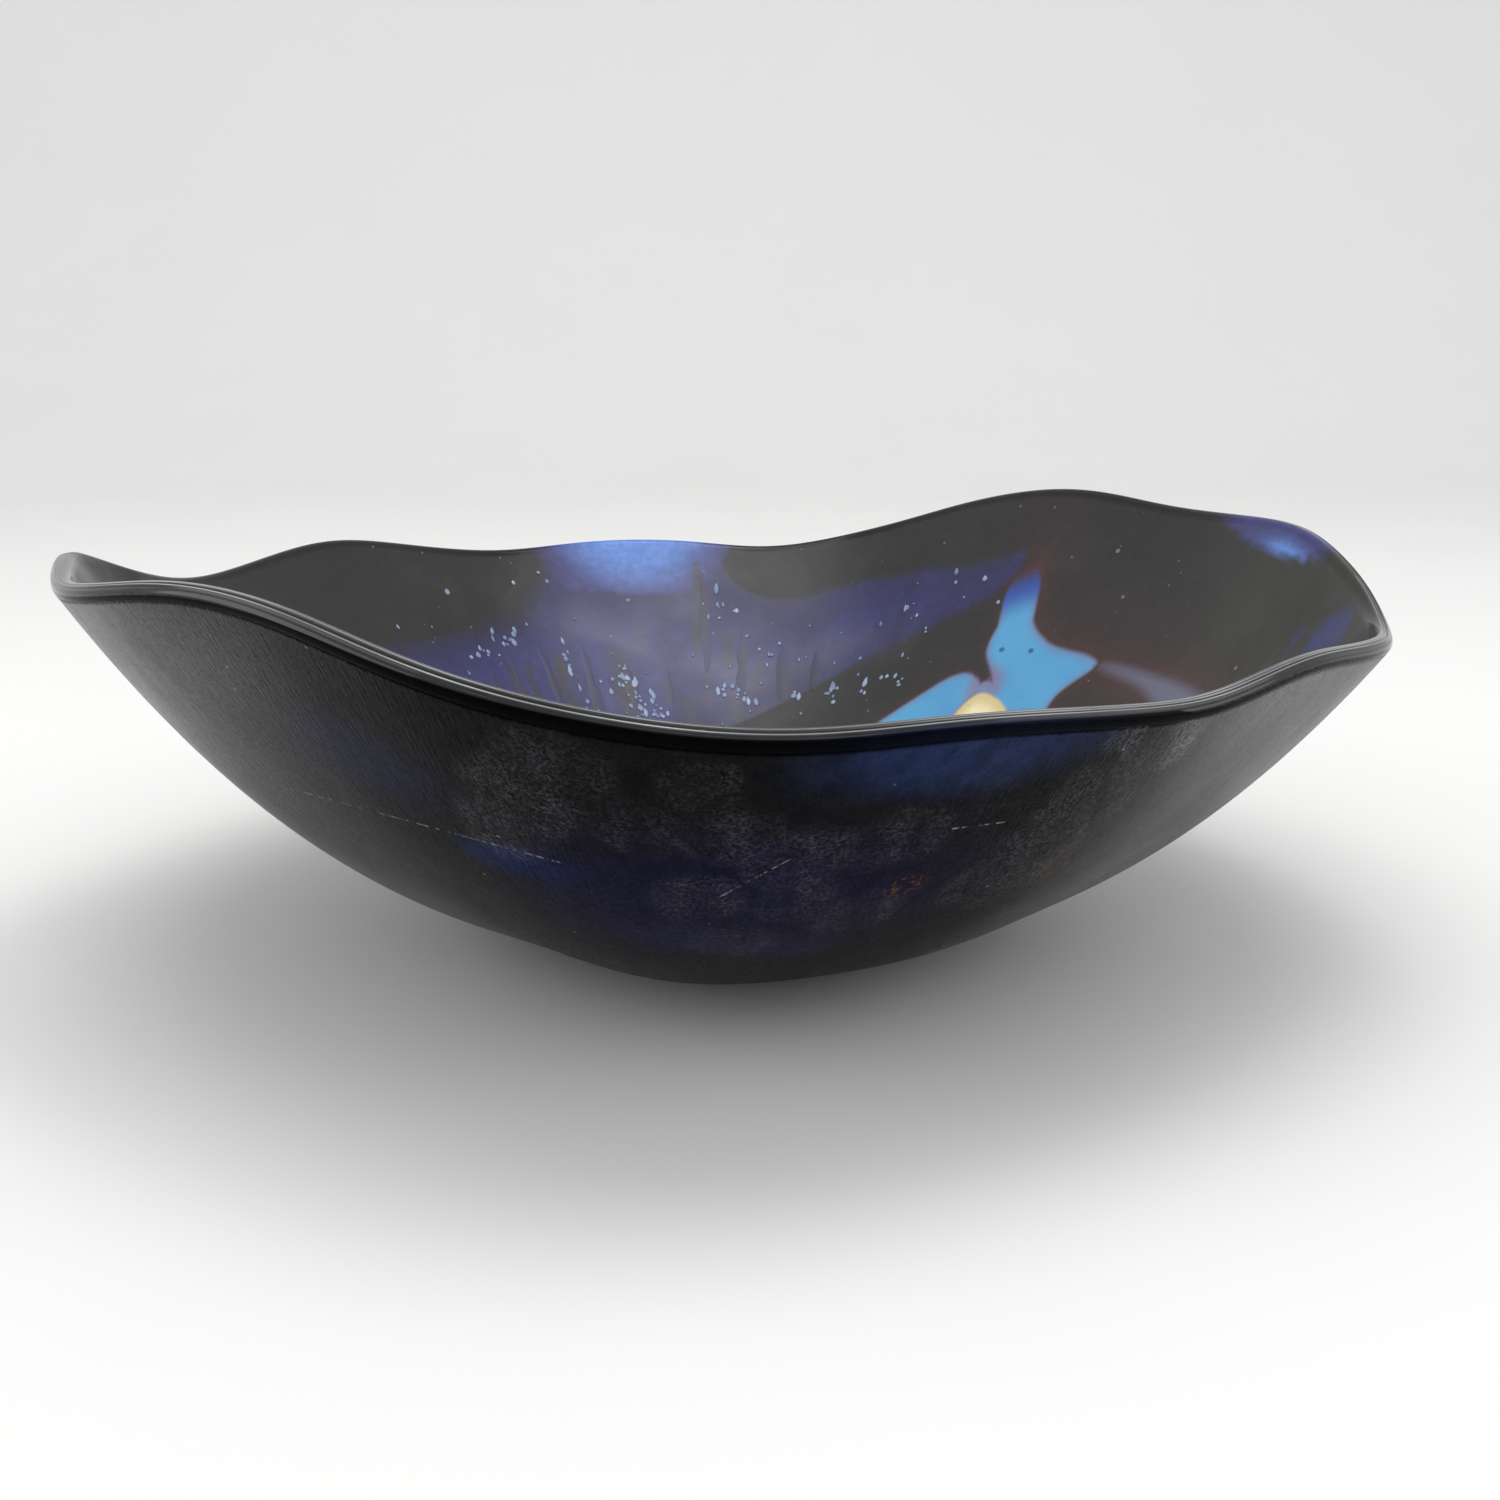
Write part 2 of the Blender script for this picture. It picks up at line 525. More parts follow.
def build_mosaic(materials):
    """Cuts one meshed upper sheet into pieces along the CAD outlines."""
    outlines = Outlines()
    all_outlines = outlines.tree()

    # Places on the wall, ring by ring: the skin first, then the rounding over the rim.
    shares = np.linspace(0, 1, SKIN_RINGS + 1)[1:]
    counts = [columns_at(share) for share in shares]
    starts = ring_table(counts)
    angle, share = [np.zeros(1)], [np.zeros(1)]
    for part, count in zip(shares, counts):
        column = 2 * pi * np.arange(count) / count
        angle.append(column)
        share.append(part * wall.rim_share(column))
    angle, share = np.concatenate(angle), np.concatenate(share)
    top = wall.at(angle, share) + SHEET * wall.axes(angle, share)[0]

    # Which piece each skin vertex lies in, and how far it is from the nearest outline
    owner = np.empty(len(top), dtype=int)
    gap = np.empty(len(top))
    near = np.empty((len(top), 2))
    for i, (x, y, _) in enumerate(top):
        face = drop(mosaic_tree, x, y)[2]
        if face is None:
            face = mosaic_tree.find_nearest(tuple(top[i]))[2]
        owner[i] = mosaic_owner[face]
        near[i, 0], near[i, 1], gap[i] = outlines.nearest(all_outlines, x, y)

    # Where an edge crosses an outline, its nearer end moves onto the outline.
    faces = rings_to_faces(counts)
    last = starts[-2]
    pairs = edges_of(faces)
    pairs = pairs[owner[pairs[:, 0]] != owner[pairs[:, 1]]]
    a, b = pairs.T
    near_a = gap[a] < gap[b]
    near_a = np.where((a < last) & (b >= last), True, near_a)
    near_a = np.where((a >= last) & (b < last), False, near_a)
    on_line = np.zeros(len(top), dtype=bool)
    on_line[np.where(near_a, a, b)] = True
    moved = np.flatnonzero(on_line)
    new_angle, new_share = wall.place_of(near[moved, 0], near[moved, 1], SHEET)
    inside_last = moved < last
    angle[moved] = new_angle
    share[moved] = np.where(inside_last, new_share, share[moved])

    # The rim's rounding continues each column of the last ring.
    rim_angle = angle[last:last + COLUMNS]
    rim_turns = np.linspace(pi, pi / 2, RIM_RINGS + 1)[1:]
    joint = wall.at(angle, share)
    top = joint + SHEET * wall.axes(angle, share)[0]
    top[last:] = bead(rim_angle, np.full(COLUMNS, pi))
    end_share = wall.rim_share(rim_angle)
    for k, turn in enumerate(rim_turns):
        top = np.vstack([top, bead(rim_angle, np.full(COLUMNS, turn))])
        part = (k + 1) / RIM_RINGS
        joint = np.vstack([joint, wall.at(rim_angle, end_share + part * (1 - end_share))])
        angle = np.concatenate([angle, rim_angle])
        owner = np.concatenate([owner, owner[last:last + COLUMNS]])
        on_line = np.concatenate([on_line, on_line[last:last + COLUMNS]])
    skin_count = starts[-1]
    relieved = relieve_inside(top[:skin_count], angle[:skin_count], gap)
    rise = relieved[:, 2] - top[:skin_count, 2]
    top[:skin_count] = relieved
    counts_all = counts + [COLUMNS] * RIM_RINGS
    triangles, face_owner = cut_faces(rings_to_faces(counts_all), owner, on_line, top)

    fields = paint_inside(top, angle, owner, outlines, skin_count)
    last_ring = len(top) - COLUMNS
    joint[last_ring:] = top[last_ring:]
    for index, name in enumerate(MOSAIC):
        build_piece(name, triangles[face_owner == index], top, joint, last_ring, fields,
                    materials[SLOTS[name]])
    tree = KDTree(skin_count)
    for i in range(skin_count):
        tree.insert((top[i, 0], top[i, 1], 0.0), i)
    tree.balance()
    return tree, rise, fields["paint"][0]


def edges_of(faces):
    """Each edge once, as pairs of vertices."""
    pairs = {tuple(sorted(p)) for f in faces for p in zip(f, f[1:] + f[:1])}
    return np.array(sorted(pairs))


def cut_faces(faces, owner, on_line, top):
    """Triangles of the disc, split so that none crosses an outline, and the piece each is in."""
    triangles = []
    for face in faces:
        if len(face) == 3:
            triangles.append(face)
            continue
        a, b, c, d = face
        crosses = owner[a] != owner[c] and not on_line[a] and not on_line[c]
        along = on_line[b] and on_line[d] and not (on_line[a] and on_line[c])
        if crosses or along:
            triangles += [[a, b, d], [b, c, d]]
        else:
            triangles += [[a, b, c], [a, c, d]]
    triangles = np.array(triangles)
    free = ~on_line[triangles]
    first_free = np.argmax(free, axis=1)
    face_owner = owner[triangles[np.arange(len(triangles)), first_free]]
    for i in np.flatnonzero(~free.any(axis=1)):
        x, y, _ = top[triangles[i]].mean(axis=0)
        face = drop(mosaic_tree, x, y)[2]
        if face is not None:
            face_owner[i] = mosaic_owner[face]
    return triangles, face_owner


def relieve_inside(top, angle, gap):
    """Fused glass is never quite even: long swells, and a shallow dip along each seam."""
    x, y, _ = top.T
    swell = cloud(x + 1, y + 1, 60 * MM, 71)
    fine = cloud(x + 1, y + 1, 16 * MM, 73)
    fade = 1 - smooth(0.93, 0.99, np.hypot(x, y) / (wall.reach(angle) - SHEET))
    seam = np.exp(-((gap / (1.6 * MM)) ** 2))
    rise = (0.35 * MM * swell + 0.06 * MM * fine - 0.10 * MM * seam) * fade
    return top + rise[:, None] * np.array([0, 0, 1])


def build_piece(name, triangles, top, joint, last_ring, fields, material):
    """One cut piece: its share of the top skin, the same below, and side walls between."""
    directed = np.concatenate([triangles[:, [0, 1]], triangles[:, [1, 2]], triangles[:, [2, 0]]])
    forward = {tuple(pair) for pair in directed.tolist()}
    border = [pair for pair in forward if pair[::-1] not in forward]
    used = np.unique(triangles)
    upper = {vertex: i for i, vertex in enumerate(used.tolist())}
    below = [vertex for vertex in used.tolist() if vertex < last_ring]
    lower = {vertex: len(used) + i for i, vertex in enumerate(below)}
    lower.update({vertex: upper[vertex] for vertex in used.tolist() if vertex >= last_ring})
    points = np.vstack([top[used], joint[below]]) if below else top[used]
    faces = [[upper[a], upper[b], upper[c]] for a, b, c in triangles.tolist()]
    for a, b, c in triangles.tolist():
        under = [lower[c], lower[b], lower[a]]
        if min(a, b, c) < last_ring:
            faces.append(under)
    for a, b in sorted(border):
        side = [upper[b], upper[a], lower[a], lower[b]]
        side = [v for i, v in enumerate(side) if v not in side[:i]]
        if len(side) > 2:
            faces.append(side)
    obj = make_object(name + "_glass", points, faces)
    rows = np.concatenate([used, np.array(below, dtype=int)])
    for field, (values, kind) in fields.items():
        store(obj, field, values[rows], kind)
    add_piece(obj, name, material)


# Colours of the sheet glass
BLACK = np.array([0.0130, 0.0115, 0.0120])
WINE = np.array([0.0620, 0.0190, 0.0170])
OLIVE = np.array([0.0160, 0.0190, 0.0120])
COBALT = np.array([0.0290, 0.0290, 0.1280])
INDIGO = np.array([0.0180, 0.0160, 0.0750])
VIOLET = np.array([0.0450, 0.0260, 0.1100])
RIM_BLUE = np.array([0.1000, 0.2300, 0.6200])
DEEP_BLUE = np.array([0.0160, 0.0220, 0.1300])
DRIP = np.array([0.0390, 0.0350, 0.0390])
# Upper edge of the cobalt: directions in degrees, and its share of the way out in each
COBALT_TOP = ((0, 100, 111, 115, 120, 137, 150, 360), (1.3, 1.3, 1.02, 0.93, 0.865, 0.83, 0.80, 0.80))
# A place near the tip of the sky-blue fin, the way it points, and strokes that widen the figure
FIN_AT, FIN_LEAN = (0.098, 0.114), (0.42, 0.91)
SKY_STROKES = (
    ((0.1020, 0.1235), (0.0985, 0.1145), 6.7 * MM),
    ((0.0860, 0.1005), (0.0945, 0.0890), 3.4 * MM),
)
# Light blue at the rim: the arch's middle (degrees), half-width (degrees) and drop down the wall
ARCH_AT, ARCH_HALF, ARCH_DROP = 103, 11.5, 0.135
CRESCENT_LOW = ((5, 9, 14, 20, 27), (0.975, 0.958, 0.952, 0.957, 0.975))  # degrees, share out
HAZE_STRENGTH, HAZE_HALF = 1.5, 6.5 * MM
SKY_GROUPS = ("sky_fin", "sky_arm", "sky_swallow")
YELLOW_GROUPS = ("yellow_heart", "yellow_shard")
LAVENDER_GROUPS = ("lavender_ribbon", "lavender_leaf")
COBALT_GROUPS = ("cobalt_field", "cobalt_front", "cobalt_chip", "rim_sky_back")


def mix(paint, colour, share):
    return paint + np.clip(share, 0, 1)[:, None] * (colour - paint)


def depth_in(outlines, owner, top, names):
    """How far inside these pieces each point is: negative outside them."""
    tree = outlines.tree(names)
    inside = np.isin(owner, [MOSAIC.index(name) for name in names])
    distance = np.array([outlines.nearest(tree, x, y)[2] for x, y, _ in top])
    return np.where(inside, distance, -distance)


def span_distance(x, y, start, end):
    """Plan distance from a straight line between two places."""
    run = np.array(end) - np.array(start)
    share = np.clip(((x - start[0]) * run[0] + (y - start[1]) * run[1]) / (run @ run), 0, 1)
    return np.hypot(x - start[0] - share * run[0], y - start[1] - share * run[1])


def paint_inside(top, angle, owner, outlines, skin_count):
    """Every colour field of the upper sheet, one value per vertex."""
    x, y, z = top.T
    share = np.hypot(x, y) / wall.reach(angle)
    wobble = 0.9 * MM * cloud(x + 1, y + 1, 12 * MM, 79)
    sky = depth_in(outlines, owner, top, SKY_GROUPS) + 0.5 * wobble
    yellow = depth_in(outlines, owner, top, YELLOW_GROUPS) + 0.3 * wobble
    # The fin ends in a blunt tip that fades away, and the arm runs on under the yellow
    along_fin = (x - FIN_AT[0]) * FIN_LEAN[0] + (y - FIN_AT[1]) * FIN_LEAN[1]
    near_fin = (x > 0.085) & (x < 0.125) & (y > 0.108)
    sky = np.where(near_fin, np.minimum(sky, 17 * MM - along_fin), sky)
    for start, end, half_width in SKY_STROKES:
        sky = np.maximum(sky, half_width - span_distance(x, y, start, end))
    lavender = depth_in(outlines, owner, top, LAVENDER_GROUPS)
    lavender = lavender - 1.5 * MM * smooth(0.035, 0.080, y) * (x > 0.1)
    cobalt = depth_in(outlines, owner, top, COBALT_GROUPS) + wobble
    rim_blue = depth_in(outlines, owner, top, ("rim_sky_back", "rim_sky_side"))
    violet = depth_in(outlines, owner, top, ("violet_wedge",)) + wobble
    band = depth_in(outlines, owner, top, ("dark_band",))

    paint = np.tile(BLACK, (len(top), 1))
    paint = paint * (1 + 0.25 * cloud(x + 1, y + 1, 40 * MM, 83))[:, None]
    # Olive cast on the right wall, indigo cast beside the cobalt
    right = spot(top, (0.165, 0.005, 0.085), 0.060, (0.7, 1, 1))
    paint = mix(paint, OLIVE, 0.9 * right)
    left = smooth(-30 * MM, 0, cobalt) * smooth(-0.02, -0.08, x) * smooth(0.84, 0.78, share)
    paint = mix(paint, INDIGO, 0.6 * left)
    # Wine halos round the sky-blue figure and along the ribbon
    figure = np.minimum(np.maximum(sky, lavender), 0)
    halo = 0.6 * np.exp(figure / (2.6 * MM)) + 0.4 * np.exp(figure / (9 * MM))
    paint = mix(paint, WINE, 0.85 * halo * (np.maximum(sky, lavender) < 3 * MM))
    # Cobalt field, deeper at its borders, streaked down the wall
    streak = cloud(190 * MM * angle + 1, share * 12 * MM + 1, 9 * MM, 89)
    deep = INDIGO + smooth(0, 26 * MM, cobalt)[:, None] * (COBALT - INDIGO)
    deep = deep * (1 + 0.28 * streak + 0.2 * cloud(x + 1, y + 1, 35 * MM, 97))[:, None]
    degrees = np.degrees(angle) % 360
    edge_share = np.interp(degrees, COBALT_TOP[0], COBALT_TOP[1]) + 1.2 * wobble
    cut = smooth(0.035, -0.035, share - edge_share)
    paint = mix(paint, deep, smooth(-1.2 * MM, 1.6 * MM, cobalt) * cut)
    paint = mix(paint, VIOLET, smooth(-1.5 * MM, 3 * MM, violet))
    paint = mix(paint, BLACK, 0.9 * smooth(-0.8 * MM, 1.2 * MM, band) * (1 - 0.6 * halo))
    # Light blue at the rim, in an arch at the back and a thin crescent at the right
    across = (degrees - ARCH_AT) / ARCH_HALF
    down = (1 - share) / ARCH_DROP
    arch = np.where(rim_blue > -6 * MM, 1 - across ** 2 - down ** 2 + 12 * wobble, -1)
    paint = mix(paint, COBALT * 1.35, 0.95 * smooth(-0.35, 0.30, arch))
    paint = mix(paint, RIM_BLUE, smooth(0.10, 0.95, arch - 0.25 * down))
    side = (degrees + 180) % 360 - 180
    lens = share - np.interp(side, CRESCENT_LOW[0], CRESCENT_LOW[1])
    lens = smooth(-0.002, 0.004, lens) * smooth(4, 8, side) * smooth(28, 22, side)
    core = np.exp(-(((side - 12) / 4.5) ** 2) - ((share - 0.960) / 0.008) ** 2)
    paint = mix(paint, COBALT * 1.25, 0.9 * lens)
    paint = mix(paint, RIM_BLUE, core * lens)
    paint = mix(paint, DEEP_BLUE, 0.8 * spot(top, (0.1738, -0.0150, 0.0895), 0.011, (1, 1, 1.8)))
    # Olive drips down the back wall
    for middle, low, high, width, strength in DRIPS:
        across = 150 * MM * ((angle - radians(middle) + pi) % (2 * pi) - pi)
        across = across + 1.6 * MM * noise(share * 190 * MM + 1, 0 * x + middle, 9 * MM, 101)
        soft = np.exp(-((across / width) ** 2)) * smooth(low - 0.02, low + 0.02, share)
        soft = soft * (1 - smooth(high - 0.03, high + 0.02, share))
        ragged = 0.8 + 0.35 * noise(x + 1, y + 1, 5 * MM, 103)
        paint = mix(paint, DRIP, 1.15 * strength * soft * ragged)

    # A pale film in a curved band across the back wall
    haze = np.zeros(len(top))
    for start, end in zip(HAZE, HAZE[1:]):
        away = span_distance(x, y, start[:2], end[:2])
        film = HAZE_STRENGTH * start[2] * np.exp(-((away / HAZE_HALF) ** 2))
        haze = np.maximum(haze, film)
    vertex = np.arange(len(top))
    ring = (vertex - skin_count) // COLUMNS
    turn = np.where(ring >= 0, pi - (ring + 1) * pi / 2 / RIM_RINGS, pi)
    polished = vertex >= skin_count - COLUMNS

    tip = smooth(3 * MM, 12 * MM, along_fin) * near_fin  # the fin deepens towards its tip
    fade = smooth(11 * MM, 17 * MM, along_fin) * near_fin
    blush = 0.55 * spot(top, (0.086, 0.101, 0.057), 0.010, (1, 1, 2))
    return {
        "paint": (np.column_stack([paint, np.ones(len(top))]), "FLOAT_COLOR"),
        "sky": (sky, "FLOAT"),
        "yellow": (yellow, "FLOAT"),
        "lavender": (lavender, "FLOAT"),
        "tip": (tip, "FLOAT"),
        "fade": (fade, "FLOAT"),
        "blush": (blush, "FLOAT"),
        "haze": (haze, "FLOAT"),
        "line": (rim_line(turn, angle), "FLOAT"),
        "polish": (polished * (1 - WORN * lip(angle)), "FLOAT"),
        "flow": (flow_of(angle, z), "FLOAT_VECTOR"),
    }


# The pale film: places (x, y) it passes over, and how strong it is from each to the next
HAZE = (
    (-0.088, 0.150, 0.030), (-0.066, 0.152, 0.055), (-0.044, 0.153, 0.075), (-0.024, 0.150, 0.085),
    (-0.003, 0.147, 0.075), (0.018, 0.152, 0.060), (0.045, 0.150, 0.040), (0.060, 0.140, 0.0),
)


def loose_parts(name):
    """Points of each separate solid of a CAD node."""
    mesh = frame["nodes"][name].data
    parent = list(range(len(mesh.vertices)))

    def root(i):
        while parent[i] != i:
            parent[i] = parent[parent[i]]
            i = parent[i]
        return i

    seen = {}
    for i, vertex in enumerate(mesh.vertices):
        key = tuple(round(c / (0.01 * MM)) for c in vertex.co)
        parent[root(i)] = root(seen.setdefault(key, i))
    for edge in mesh.edges:
        parent[root(edge.vertices[0])] = root(edge.vertices[1])
    groups = {}
    for i, vertex in enumerate(mesh.vertices):
        groups.setdefault(root(i), []).append(tuple(vertex.co))
    return [np.array(points) for points in groups.values()]


# Olive drips: direction (degrees), share of the way out at each end, half-width, strength
DRIPS = (
    (96.0, 0.800, 0.960, 1.5 * MM, 0.85), (124.5, 0.735, 0.800, 1.7 * MM, 0.90),
    (121.5, 0.700, 0.805, 2.2 * MM, 0.85), (117.0, 0.690, 0.810, 3.2 * MM, 0.85),
    (113.5, 0.640, 0.730, 2.4 * MM, 0.70), (108.0, 0.660, 0.810, 4.4 * MM, 0.85),
    (104.0, 0.800, 0.850, 1.9 * MM, 0.55), (98.5, 0.640, 0.710, 3.0 * MM, 0.75),
    (95.5, 0.700, 0.790, 2.2 * MM, 0.45), (92.0, 0.770, 0.840, 2.6 * MM, 0.60),
    (90.5, 0.660, 0.730, 2.2 * MM, 0.65), (87.5, 0.720, 0.800, 2.0 * MM, 0.45),
    (83.0, 0.700, 0.770, 2.4 * MM, 0.40), (128.0, 0.700, 0.780, 1.8 * MM, 0.50),
)


# ---------------------------------------------------------------- melted grains and threads

def dome(place, inward, along, length, width, rise):
    """A closed lens of melted glass lying on the wall: points, faces, and 0 to 1 from edge to crown."""
    side = np.cross(inward, along)
    around, levels = 20, 5
    points, faces, core = [], [], []
    for level in range(levels):
        tilt = level / levels * pi / 2
        for k in range(around):
            turn = 2 * pi * k / around
            taper = 1 - 0.45 * max(0.0, sin(turn))
            u = cos(tilt) * sin(turn) * length / 2
            v = cos(tilt) * cos(turn) * width / 2 * taper
            points.append(place + u * along + v * side + sin(tilt) * rise * inward)
            core.append(sin(tilt))
    for level in range(levels - 1):
        for k in range(around):
            a, b = level * around + k, level * around + (k + 1) % around
            faces.append([a, a + around, b + around, b])
    crown = len(points)
    points.append(place + rise * inward)
    core.append(1.0)
    last = (levels - 1) * around
    faces += [[last + (k + 1) % around, last + k, crown] for k in range(around)]
    faces.append(list(range(around)))
    return points, faces, core


def gather(name, node, lenses, material, shade, skin):
    """One object of many closed lenses, laid on the skin and fading into its colour at their edges."""
    points, faces, tones, cores = [], [], [], []
    for (lens_points, lens_faces, core), tone in zip(lenses, shade):
        start = len(points)
        points += lens_points
        faces += [[start + i for i in face] for face in lens_faces]
        tones += [tone] * len(lens_points)
        cores += core
    points = np.array(points)
    tree, rise, paint = skin
    under = np.array([tree.find((x, y, 0.0))[1] for x, y, _ in points])
    points[:, 2] += rise[under]
    obj = make_object(name, points, faces, sharp=radians(60))
    store(obj, "tone", tones)
    store(obj, "core", cores)
    store(obj, "paint", paint[under], "FLOAT_COLOR")
    add_piece(obj, node, material)


# Where the crushed glass was strewn: two ends of a run, how many grains, how far they scatter
RUNS = (
    ((-0.045, 0.140), (-0.030, 0.125), 44, 3.0 * MM),  # the thick patch left of the middle
    ((-0.095, 0.120), (-0.085, 0.140), 18, 2.0 * MM),
    ((-0.070, 0.145), (-0.055, 0.120), 12, 1.5 * MM),
    ((-0.015, 0.175), (0.020, 0.145), 14, 2.5 * MM),
    ((-0.010, 0.145), (0.005, 0.135), 14, 2.0 * MM),
    ((0.020, 0.140), (0.060, 0.125), 20, 2.5 * MM),
    ((0.060, 0.155), (0.070, 0.140), 6, 1.5 * MM),
    ((-0.110, 0.140), (-0.075, 0.165), 4, 3.0 * MM),
    ((0.080, 0.150), (0.095, 0.125), 5, 2.5 * MM),
    ((-0.030, -0.120), (-0.010, -0.125), 9, 3.0 * MM),
    ((0.085, -0.065), (0.100, -0.050), 8, 2.5 * MM),
)
GRAIN_RISE, CAD_GRAIN_RISE, THREAD_RISE = 0.28 * MM, 0.30 * MM, 0.06 * MM


def grain(x, y, width, length, rise):
    """One melted grain on the inner skin over (x, y), its tail pointing down the wall."""
    angle, share = wall.place_of(np.array([x]), np.array([y]), SHEET)
    inward, up = wall.axes(angle, share)
    place = wall.at(angle, share)[0] + (SHEET + 0.02 * MM) * inward[0]
    lean = up[0] + rng.uniform(-0.15, 0.15) * np.cross(inward[0], up[0])
    return dome(place, inward[0], unit(lean), length, width, rise)


def build_frit(material, skin):
    """Crushed grains, melted to drops that run a little way down the wall."""
    lenses, shade = [], []
    for part in loose_parts("frit_grains"):
        x, y, _ = part.mean(axis=0)
        width = rng.uniform(0.8, 1.5) * MM
        lenses.append(grain(x, y, width, width * rng.uniform(1.1, 2.2), CAD_GRAIN_RISE))
        shade.append(rng.uniform(0.0, 0.5))
    for start, end, count, scatter in RUNS:
        for _ in range(count):
            along = rng.uniform(0, 1)
            x = start[0] + along * (end[0] - start[0]) + rng.normal(0, scatter)
            y = start[1] + along * (end[1] - start[1]) + rng.normal(0, scatter)
            width = rng.uniform(1.0, 2.4) * MM
            stretch = rng.uniform(1.3, 3.0) if rng.random() < 0.4 else rng.uniform(1.0, 1.4)
            lenses.append(grain(x, y, width, width * stretch, GRAIN_RISE))
            shade.append(rng.uniform(0.1, 0.9))
    gather("frit_drops", "frit_grains", lenses, material, shade, skin)


def build_stringers(material, skin):
    """Threads of glass melted to low ridges that follow the wall."""
    lenses, shade = [], []
    for part in loose_parts("stringers"):
        angle = np.arctan2(part[:, 1].mean(), part[:, 0].mean())
        part_share = np.hypot(part[:, 0], part[:, 1]) / wall.reach(np.array([angle]))[0]
        shares = np.linspace(part_share.min(), part_share.max(), 21)
        down = shares * MEAN_REACH
        wander = 1.3 * MM * noise(down + 1, 0 * shares + angle, 9 * MM, 107) / MEAN_REACH
        angles = np.full(len(shares), angle) + wander
        inward, up = wall.axes(angles, shares)
        spine = wall.at(angles, shares) + (SHEET + 0.04 * MM) * inward
        side = np.cross(inward, up)
        taper = np.sin(np.linspace(0.12, pi - 0.12, len(shares))) ** 0.5
        ragged = 1 + 0.45 * noise(down + 2, 0 * shares + angle, 4 * MM, 109)
        width = rng.uniform(1.3, 2.3) * MM * taper * ragged
        points, faces, core = [], [], []
        across = 9
        for k in range(len(shares)):
            for c in range(across):
                swing = pi * c / (across - 1)
                rise = THREAD_RISE * taper[k] * sin(swing) ** 2
                core.append(0.62 * sin(swing) * sin(pi * k / (len(shares) - 1)))
                points.append(spine[k] + width[k] * cos(swing) * side[k] + rise * inward[k])
        for k in range(len(shares) - 1):
            for c in range(across - 1):
                a = k * across + c
                faces.append([a, a + 1, a + across + 1, a + across])
            faces.append([k * across, (k + 1) * across, (k + 2) * across - 1, (k + 1) * across - 1])
        faces.append(list(range(across))[::-1])
        end = (len(shares) - 1) * across
        faces.append([end + c for c in range(across)])
        lenses.append((points, faces, core))
        shade.append(rng.uniform(0, 1))
    gather("stringer_threads", "stringers", lenses, material, shade, skin)


# ---------------------------------------------------------------- materials

SKY = (0.085, 0.345, 0.600, 1)
SKY_DEEP = (0.050, 0.220, 0.520, 1)
SKY_TIP = (0.026, 0.070, 0.330, 1)
SKY_EDGE = (0.170, 0.190, 0.330, 1)
SKY_BLUSH = (0.230, 0.130, 0.220, 1)
YELLOW = (0.660, 0.520, 0.230, 1)
YELLOW_HEART = (0.860, 0.780, 0.500, 1)
LAVENDER = (0.118, 0.124, 0.185, 1)
HAZE_GREY = (0.300, 0.295, 0.320, 1)
DUST_GREY = (0.230, 0.225, 0.250, 1)
RIM_LIGHT = (0.420, 0.430, 0.450, 1)
LIP_TIP, LIP_REACH, LIP_DULL = (-0.197, 0.007, 0.113), 0.034, 0.72
RIM_ROUGH, RIM_SHINE = 0.09, 0.34
RUST_BROWN = (0.110, 0.045, 0.020, 1)
FRIT_PALE, FRIT_DEEP = (0.40, 0.50, 0.66, 1), (0.12, 0.16, 0.30, 1)
THREAD_PALE, THREAD_DEEP = (0.044, 0.039, 0.043, 1), (0.034, 0.031, 0.044, 1)
BUBBLE = (0.020, 0.050, 0.140, 1)
BUBBLES = ((0.0938, 0.1107, 0.0643), (0.1032, 0.1028, 0.0653))


